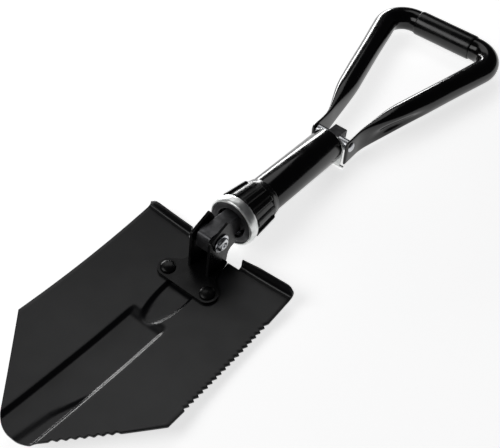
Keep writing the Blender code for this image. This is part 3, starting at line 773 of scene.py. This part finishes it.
def make_handle():
    path = handle_path()
    segments = 56
    bm = bmesh.new()
    rings = []
    ends = {0: 0.5, 1: 0.85, len(path) - 2: 0.85, len(path) - 1: 0.5}
    for i, point in enumerate(path):
        ahead = path[min(i + 1, len(path) - 1)] - path[max(i - 1, 0)]
        across = Vector((ahead.y, -ahead.x)).normalized()
        half_width, half_height, sink, power = arm_section(point.y)
        half_width *= ends.get(i, 1.0)
        half_height -= 1.0 * (1 - ends.get(i, 1.0))
        ring = []
        for k in range(segments):
            angle = 2 * math.pi * k / segments
            c, s = math.cos(angle), math.sin(angle)
            u = half_width * math.copysign(abs(c) ** (2 / power), c)
            v = half_height * math.copysign(abs(s) ** (2 / power), s)
            place = point + across * u
            if abs(place.x) > abs(point.x):
                pressed = min(dent(point.y, v), 1.7 * abs(u))
                place = point + across * (u - math.copysign(pressed, u))
            ring.append(bm.verts.new(on_handle(place.x, place.y, v + sink)))
        rings.append(ring)
    for one, two in zip(rings, rings[1:]):
        for k in range(segments):
            j = (k + 1) % segments
            bm.faces.new((one[k], one[j], two[j], two[k]))
    bm.faces.new(rings[0])
    bm.faces.new(rings[-1])
    piece("handle_tube", bm, "handle", MATS["gloss"], ["d_handle"], smooth=45)

    centre = on_handle(0, CROSSBAR_S, 0)
    end = [(BAR_R + GAP, SLEEVE_HALF), (SLEEVE_R - 0.45, SLEEVE_HALF)]
    end += [(SLEEVE_R - 0.2, SLEEVE_HALF - 0.4)]
    end += [(SLEEVE_R - 0.05, SLEEVE_HALF - 1.2), (SLEEVE_R, SLEEVE_HALF - 2.6)]
    profile = end + [(r, -x) for r, x in reversed(end)]
    sleeve = turned(profile, "X", 96, (centre.y, centre.z))
    piece("grip_skin", sleeve, "handle", MATS["plastic"], ["grip_sleeve"], smooth=40)


def make_handle_rivet():
    """Through rivet with domed heads, and the spacers that hold the arms apart."""
    out = ARM_X + ARM_SHEET_HALF + GAP
    end = [(0, out + 1.9), (1.4, out + 1.82), (2.6, out + 1.5), (3.7, out + 1.0), (4.4, out + 0.45)]
    end += [(4.6, out), (3.0, out)]
    profile = [(r, -x) for r, x in end] + [(r, x) for r, x in reversed(end)]
    rivet = turned(profile, "X", 44, (PIVOT_Y, PIVOT_Z))
    piece("rivet_through", rivet, "shaft", MATS["zinc"], ["handle_rivet"], smooth=50)
    for side, sign in (("left", -1), ("right", 1)):
        a, b = sign * (6.0 + GAP), sign * (ARM_X - ARM_SHEET_HALF - GAP)
        ring = [(3.3, a), (4.8, a), (5.0, a + sign * 0.2), (5.0, b - sign * 0.2), (4.8, b), (3.3, b)]
        piece("spacer_" + side, turned(ring, "X", 44, (PIVOT_Y, PIVOT_Z)), "shaft", MATS["zinc"],
              ["handle_spacer_" + side])


make_blade()
make_bracket()
make_blade_rivets()
make_hinge_pin()
make_tube()
make_collar()
make_nut()
make_handle()
make_handle_rivet()
eased_copy("tongue_bar", "hinge_tongue", "shaft", MATS["steel"], 0.4)
eased_copy("lug_block", "handle_lug", "shaft", MATS["steel"], 0.4)
eased_copy("end_plate", "stop_plate", "shaft", MATS["bright"], 0.3)
for cad_node, look in (("threaded_sleeve", "steel"), ("snap_ring", "zinc"), ("nut_insert", "zinc")):
    obj = frame["nodes"][cad_node]
    obj.data.materials.clear()
    obj.data.materials.append(MATS[look])

# ---------------------------------------------------------------- floor, light and camera

FLOOR_REACH = 6.0
CAMERA_POSITION = Vector((290.73, -389.83, 506.86))
CAMERA_RIGHT = Vector((0.7788, 0.6205, 0.0917))
CAMERA_BACK = Vector((0.3885, -0.5919, 0.7062))

floor_mesh = bpy.data.meshes.new("floor")
floor_corners = [(FLOOR_REACH * a, FLOOR_REACH * b, 0) for a, b in ((-1, -1), (1, -1), (1, 1), (-1, 1))]
floor_mesh.from_pydata(floor_corners, [], [(0, 1, 2, 3)])
floor = bpy.data.objects.new("floor", floor_mesh)
bpy.context.scene.collection.objects.link(floor)
pale = bpy.data.materials.new("pale_floor")
pale.use_nodes = True
paint = pale.node_tree.nodes["Principled BSDF"]
paint.inputs["Base Color"].default_value = (0.86, 0.86, 0.86, 1.0)
paint.inputs["Roughness"].default_value = 0.9
paint.inputs["Specular IOR Level"].default_value = 0.1
paint.inputs["Emission Color"].default_value = (1.0, 1.0, 1.0, 1.0)
paint.inputs["Emission Strength"].default_value = 0.72
floor_mesh.materials.append(pale)

scene = bpy.context.scene
scene.view_settings.view_transform = "Standard"
world = bpy.data.worlds.new("studio")
world.use_nodes = True
world.node_tree.nodes["Background"].inputs["Color"].default_value = (0.022, 0.022, 0.024, 1.0)
world.node_tree.nodes["Background"].inputs["Strength"].default_value = 1.0
scene.world = world


def softbox(name, position, energy, width, height):
    """A rectangular light that faces the shovel."""
    data = bpy.data.lights.new(name, "AREA")
    data.shape = "RECTANGLE"
    data.size = width
    data.size_y = height
    data.energy = energy
    obj = bpy.data.objects.new(name, data)
    obj.location = position
    obj.rotation_mode = "QUATERNION"
    obj.rotation_quaternion = (-Vector(position)).to_track_quat("-Z", "Y")
    scene.collection.objects.link(obj)


softbox("key_above", (-0.80, 0.70, 1.20), 3.2, 1.1, 0.8)
softbox("strip_left", (-1.45, 1.00, 0.16), 26.0, 1.5, 0.3)
softbox("front_left", (-0.75, -1.05, 1.25), 9.0, 1.2, 0.9)

camera_data = bpy.data.cameras.new("camera")
camera_data.lens = 64.69
camera_data.sensor_width = 36.0
camera_data.clip_start = 0.01
camera = bpy.data.objects.new("camera", camera_data)
scene.collection.objects.link(camera)
camera_right = CAMERA_RIGHT.normalized()
camera_back = CAMERA_BACK.normalized()
camera_up = camera_back.cross(camera_right).normalized()
facing = TURN @ Matrix((camera_right, camera_up, camera_back)).transposed()
camera.matrix_world = Matrix.Translation(TO_WORLD @ CAMERA_POSITION) @ facing.to_4x4()
scene.camera = camera
